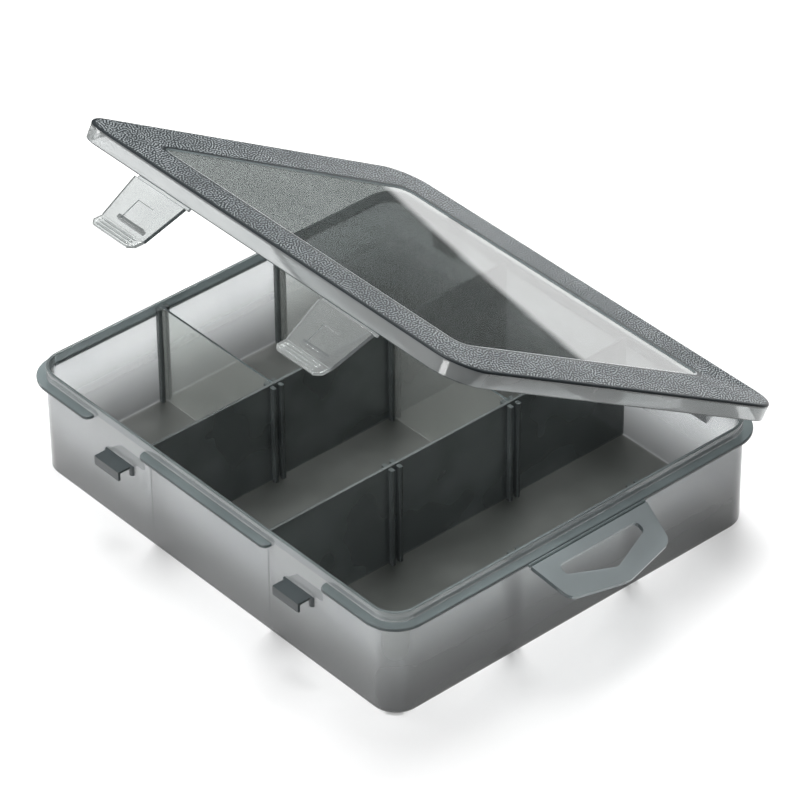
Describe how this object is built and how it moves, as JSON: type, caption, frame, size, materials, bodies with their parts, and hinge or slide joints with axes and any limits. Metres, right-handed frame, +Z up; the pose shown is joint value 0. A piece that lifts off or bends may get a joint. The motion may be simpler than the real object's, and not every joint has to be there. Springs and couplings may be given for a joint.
{
  "type": "parts organizer",
  "caption": "Shallow divided parts tray with a hinged windowed lid, snap latches, lift-out dividers and a fold-out carry handle.",
  "frame": {"origin": "centre of the tray's underside, on the surface it stands on", "axes": "+X towards the carry handle, -Y towards the latches, +Y towards the lid hinge, +Z up"},
  "size_m": [0.266, 0.2212, 0.1618],
  "materials": {
    "smoke_shell": "smoke-tinted translucent polypropylene, smooth",
    "smoke_partition": "dark smoke-tinted polypropylene, seen through its full depth",
    "smoke_flap": "thin smoke-tinted translucent polypropylene",
    "textured_border": "smoke polypropylene with a leather-like grain",
    "clear_pane": "clear smoke-tinted polypropylene, polished"
  },
  "bodies": {
    "base": {"base_tray": "smoke_shell", "base_rim": "smoke_shell", "ledge_front": "smoke_shell", "ledge_back": "smoke_shell", "ledge_left": "smoke_shell", "ledge_right": "smoke_shell", "partition_left": "smoke_partition", "partition_right": "smoke_partition", "guide_left_front_a1": "smoke_partition", "guide_left_front_a2": "smoke_partition", "guide_left_front_b1": "smoke_partition", "guide_left_front_b2": "smoke_partition", "guide_left_back_a1": "smoke_partition", "guide_left_back_a2": "smoke_partition", "guide_left_back_b1": "smoke_partition", "guide_left_back_b2": "smoke_partition", "guide_middle_front_a1": "smoke_partition", "guide_middle_front_a2": "smoke_partition", "guide_middle_front_b1": "smoke_partition", "guide_middle_front_b2": "smoke_partition", "guide_middle_back_a1": "smoke_partition", "guide_middle_back_a2": "smoke_partition", "guide_middle_back_b1": "smoke_partition", "guide_middle_back_b2": "smoke_partition", "guide_right_front_a1": "smoke_partition", "guide_right_front_a2": "smoke_partition", "guide_right_front_b1": "smoke_partition", "guide_right_front_b2": "smoke_partition", "guide_right_back_a1": "smoke_partition", "guide_right_back_a2": "smoke_partition", "guide_right_back_b1": "smoke_partition", "guide_right_back_b2": "smoke_partition", "latch_catch_left": "smoke_shell", "latch_catch_right": "smoke_shell", "hinge_lug_left": "smoke_shell", "hinge_lug_right": "smoke_shell", "hinge_pin_left": "smoke_shell", "hinge_pin_right": "smoke_shell", "handle_film": "smoke_flap"},
    "lid": {"lid_frame": "textured_border", "lid_window": "clear_pane", "window_bead": "clear_pane", "lid_skirt": "smoke_flap", "hinge_arm_left": "smoke_flap", "hinge_arm_right": "smoke_flap", "latch_film_left": "smoke_flap", "latch_film_right": "smoke_flap"},
    "latch_left": {"latch_plate_left": "smoke_flap", "latch_grip_left": "smoke_flap", "latch_bar_left": "smoke_flap"},
    "latch_right": {"latch_plate_right": "smoke_flap", "latch_grip_right": "smoke_flap", "latch_bar_right": "smoke_flap"},
    "handle": {"carry_handle": "smoke_flap"},
    "divider_left_front": {"divider_left_front": "clear_pane"},
    "divider_left_back": {"divider_left_back": "clear_pane"},
    "divider_middle_back": {"divider_middle_back": "clear_pane"}
  },
  "joints": [
    {"name": "lid_hinge", "type": "hinge", "parent": "base", "child": "lid", "pos_m": [0, 0.1055, 0.041], "axis": [-1, 0, 0], "range_deg": [-31, 149]},
    {"name": "latch_left_film", "type": "hinge", "parent": "lid", "child": "latch_left", "pos_m": [-0.058, -0.07114, 0.15495], "axis": [-1, 0, 0], "range_deg": [-23, 65]},
    {"name": "latch_right_film", "type": "hinge", "parent": "lid", "child": "latch_right", "pos_m": [0.058, -0.07114, 0.15495], "axis": [-1, 0, 0], "range_deg": [-23, 65]},
    {"name": "handle_film_hinge", "type": "hinge", "parent": "base", "child": "handle", "pos_m": [0.1204, 0, 0.0471], "axis": [0, -1, 0], "range_deg": [-64, 51]},
    {"name": "divider_left_front_lift", "type": "slide", "parent": "base", "child": "divider_left_front", "axis": [0, 0, 1], "range_m": [0, 0.06]},
    {"name": "divider_left_back_lift", "type": "slide", "parent": "base", "child": "divider_left_back", "axis": [0, 0, 1], "range_m": [0, 0.034]},
    {"name": "divider_middle_back_lift", "type": "slide", "parent": "base", "child": "divider_middle_back", "axis": [0, 0, 1], "range_m": [0, 0.034]}
  ]
}
